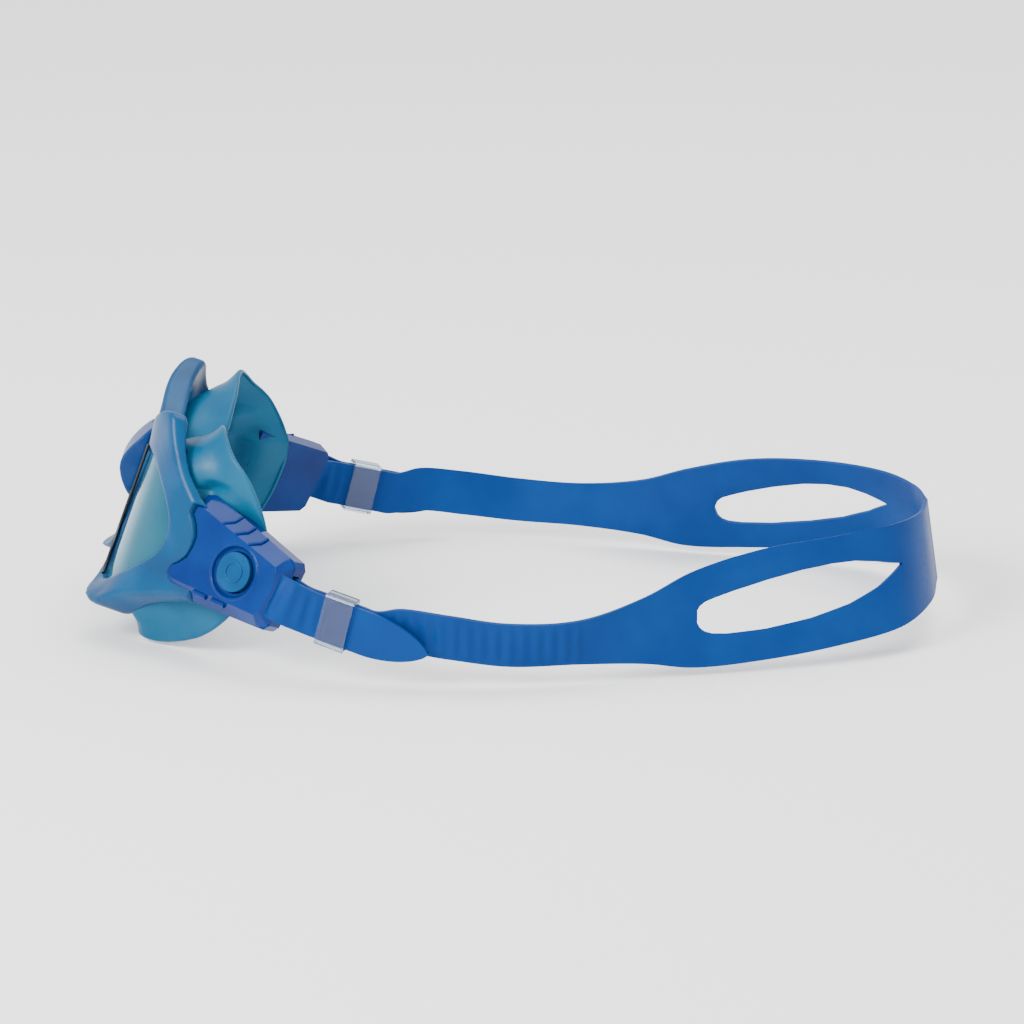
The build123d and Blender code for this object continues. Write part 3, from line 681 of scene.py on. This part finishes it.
# ---------------------------------------------------------------- buckle cover
COVER_FACE = [(-17.6, 0), (-18, 3.6), (-20, 6.6), (-22.6, 9), (-22.4, 11.4), (-20.4, 12), (-9, 10.7),
              (2, 9.4), (13.2, 8.1), (14.4, 6.5), (15, 3), (15.2, 0)]
COVER_FOOT = [(-18.6, 0), (-19.2, 4.4), (-21.6, 8.6), (-24.6, 12), (-24.2, 15.4), (-21.4, 16.6),
              (-9, 15.2), (2, 13.6), (13, 12), (16.4, 10), (17.8, 5), (18.1, 0)]
COVER_MIDDLE_T, COVER_FOOT_N, COVER_INNER_N = -3, -5.0, -1.6
DISH_RADIUS = 9.0
DISH = ((6.45, -2.8), (6.45, -1.3), (7.3, -1.25), (7.9, -0.7), (8.1, 0.15), (8.7, 0.2), (DISH_RADIUS, 0.0))


def cover_line(points, growth=0.0):
    """Whole outline of the cover from its upper half, grown all round."""
    whole = points + [(t, -e) for t, e in reversed(points[1:-1])]
    grown = []
    for t, e in whole:
        along = t - COVER_MIDDLE_T
        scale = 1 + growth / sqrt(along ** 2 + e ** 2)
        grown.append((COVER_MIDDLE_T + along * scale, e * scale))
    return grown


def inside(outline, t, e):
    """Whether a point lies in a closed outline, by counting the edges beyond it."""
    crossings = 0
    count = len(outline)
    for number in range(count):
        (t0, e0), (t1, e1) = outline[number], outline[(number + 1) % count]
        level = (e0 > e) != (e1 > e)
        if level and t < t0 + (e - e0) * (t1 - t0) / (e1 - e0):
            crossings += 1
    return crossings % 2 == 1


def ring_of(outline, parts):
    """Points on the straight lines of a closed outline."""
    found = []
    count = len(outline)
    for number in range(count):
        (t0, e0), (t1, e1) = outline[number], outline[(number + 1) % count]
        for part in range(parts):
            u = part / parts
            found.append((t0 + (t1 - t0) * u, e0 + (e1 - e0) * u))
    return found


def cover_rings():
    """Rings from the button's hole out over the dish, the face and the bevel, then back inside."""
    face, foot = ring_of(cover_line(COVER_FACE), 4), ring_of(cover_line(COVER_FOOT), 4)
    rings = []
    for reach, n in DISH:
        ring = []
        for t, e in face:
            length = sqrt(t * t + e * e)
            ring.append((t * reach / length, e * reach / length, n))
        rings.append(ring)
    dish_edge = rings[-1]
    for share in (0.35, 0.75, 1.0):
        rings.append([(a[0] + (t - a[0]) * share, a[1] + (e - a[1]) * share, 0.0)
                      for a, (t, e) in zip(dish_edge, face)])
    for share in (0.5, 1.0):
        rings.append([(a[0] + (b[0] - a[0]) * share, a[1] + (b[1] - a[1]) * share, COVER_FOOT_N * share)
                      for a, b in zip(face, foot)])
    rings.append([(t * 0.96 - 0.1, e * 0.94, COVER_FOOT_N) for t, e in foot])
    rings.append([(t * 0.93 - 0.2, e * 0.9, COVER_INNER_N) for t, e in face])
    return rings


def make_cover(side, made):
    """Bevelled shell with a dished ring round the push button."""
    turn = (lambda p: p) if side == "left" else flip
    rings = cover_rings()
    count = len(rings[0])
    points = [turn(buckle(*p)) for ring in rings for p in ring]
    faces = []
    for number in range(len(rings)):
        a, b = number * count, ((number + 1) % len(rings)) * count
        for k in range(count):
            j = (k + 1) % count
            faces.append((a + k, a + j, b + j, b + k))
    mesh = mesh_from(f"gloss_cover_{side}", points, faces)
    tidy_normals(mesh)
    piece = new_object(f"gloss_cover_{side}", mesh)
    modify(piece, "BEVEL", width=0.4 * MM, segments=3, limit_method="ANGLE", angle_limit=radians(28))
    modify(piece, "WEIGHTED_NORMAL")
    apply_modifiers(piece)
    settle(piece, "mask", "buckle", made["buckle"], f"buckle_cover_{side}")
    make_grips(side, turn, made)


def make_grips(side, turn, made):
    """Three ribs down the cover's upper bevel and two pads on its lower one."""
    for number, t in enumerate((-10, -4, 2)):
        ends = [(t - 1.4, 11.0 - 0.11 * (t + 9), 0.05), (t + 1.0, 13.0 - 0.12 * (t + 9), -2.4),
                (t + 1.2, 15.0 - 0.14 * (t + 9), -4.7)]
        rib = bar(f"grip_rib_{side}_{number}", [turn(buckle(*p)) for p in ends], 0.45)
        settle(rib, "mask", "buckle", made["buckle"])
    for number, t in enumerate((-11, -3.5)):
        ends = [(t, 0.11 * (t + 9) - 11.8, -1.0), (t + 5, 0.11 * (t + 9) - 11.2, -1.0)]
        pad = bar(f"grip_pad_{side}_{number}", [turn(buckle(*p)) for p in ends], 0.9)
        settle(pad, "mask", "buckle", made["buckle"])


def bar(name, line, radius):
    """Round-ended bar along a few points."""
    curve = bpy.data.curves.new(name, "CURVE")
    curve.dimensions = "3D"
    curve.bevel_depth = radius * MM
    curve.bevel_resolution = 4
    curve.use_fill_caps = True
    spline = curve.splines.new("POLY")
    spline.points.add(len(line) - 1)
    for point, place in zip(spline.points, line):
        point.co = (*place, 1)
    piece = bpy.data.objects.new(name, curve)
    bpy.context.scene.collection.objects.link(piece)
    depsgraph = bpy.context.evaluated_depsgraph_get()
    mesh = bpy.data.meshes.new_from_object(piece.evaluated_get(depsgraph))
    bpy.data.objects.remove(piece)
    return new_object(name, mesh)


# ---------------------------------------------------------------- hard pieces
# a near-black bar of painted shade, laid in the gap along the nose side of each lens
SHADE_LINE_FRONT, SHADE_LINE_RADIUS = -3.75, 0.55
SHADE_LINE_PATH = [(13.5, 22.6), (10.6, 18), (9.4, 11), (8.7, 3), (9.6, -6), (12.6, -13.4), (16.5, -17.6),
             (20.5, -19.9)]


def make_hard_pieces(made):
    make_frame(made)
    nose = softened("nose_bridge", "moulded_bridge", 0.35, 8)
    settle(nose, "mask", "bridge", made["bridge"], "nose_bridge")
    for side in SIDES:
        make_cover(side, made)
        # painted shade along the nose side of the lens
        make_lens_shade_line(side, made)
        sleeve = bevelled(f"keeper_{side}", f"clear_sleeve_{side}", 0.35)
        settle(sleeve, f"keeper_{side}", "keeper", made["keeper"], f"keeper_{side}")
        disc = bevelled(f"release_button_{side}", f"push_button_{side}", 0.2)
        settle(disc, f"button_{side}", "button", made["button"], f"release_button_{side}")


def make_lens_shade_line(side, made):
    """Near-black bar of painted shade, laid in the gap along the nose side of the lens opening."""
    turn = (lambda p: p) if side == "left" else flip
    places = [turn(mask(x, SHADE_LINE_FRONT, z)) for x, z in SHADE_LINE_PATH]
    shade_line = bar(f"lens_bead_{side}", places, SHADE_LINE_RADIUS)
    # painted shade, not a gasket, though it is filed under the gasket slot
    settle(shade_line, "mask", "gasket", made["shade_line"])


def paint_nodes(made):
    """Better materials on the CAD nodes that stay."""
    kinds = {"lens": "lens", "lens_gasket": "gasket", "buckle_base": "buckle", "pawl_pin": "steel",
             "roller_pin": "steel", "pawl_spring": "steel", "pawl": "inner", "strap_roller": "inner"}
    for kind, name in kinds.items():
        for side in SIDES:
            mesh = NODES[f"{kind}_{side}"].data
            mesh.materials.clear()
            mesh.materials.append(made[name])


# ---------------------------------------------------------------- stage, light and camera
def area_light(name, place, target, size, power):
    light = bpy.data.lights.new(name, "AREA")
    light.size = size
    light.energy = power
    lamp = bpy.data.objects.new(name, light)
    lamp.location = place
    lamp.rotation_euler = (Vector(target) - Vector(place)).to_track_quat("-Z", "Y").to_euler()
    bpy.context.scene.collection.objects.link(lamp)


def make_stage():
    corners = [(-6, -6, 0), (6, -6, 0), (6, 6, 0), (-6, 6, 0)]
    floor = new_object("floor", mesh_from("floor", corners, [(0, 1, 2, 3)]))
    paint = material("pale_floor", (0.93, 0.93, 0.93), 0.8)
    floor.data.materials.append(paint)
    world_light = bpy.data.worlds.new("studio")
    world_light.use_nodes = True
    world_light.node_tree.nodes["Background"].inputs["Color"].default_value = (1, 1, 1, 1)
    world_light.node_tree.nodes["Background"].inputs["Strength"].default_value = 1.5
    bpy.context.scene.world = world_light
    area_light("key", (0.9, -0.9, 0.9), (0, 0, 0.03), 0.6, 30)
    area_light("top", (-0.3, 0.3, 1.6), (0, 0, 0.03), 1.2, 20)


def make_camera():
    middle = world(0, 0, 32.2)
    azimuth, elevation = radians(91), radians(16)
    reach = Vector((sin(azimuth) * cos(elevation), -cos(azimuth) * cos(elevation), sin(elevation)))
    camera = bpy.data.objects.new("camera", bpy.data.cameras.new("camera"))
    camera.data.lens = 166.1
    camera.data.sensor_width = 36
    camera.location = middle + reach * 1.5
    camera.rotation_euler = (-reach).to_track_quat("-Z", "Y").to_euler()
    bpy.context.scene.collection.objects.link(camera)
    bpy.context.scene.camera = camera


MADE = {**soft_materials(), **hard_materials()}
make_strap(MADE)
for SIDE in SIDES:
    make_cup(SIDE, MADE)
make_hard_pieces(MADE)
paint_nodes(MADE)
make_stage()
make_camera()
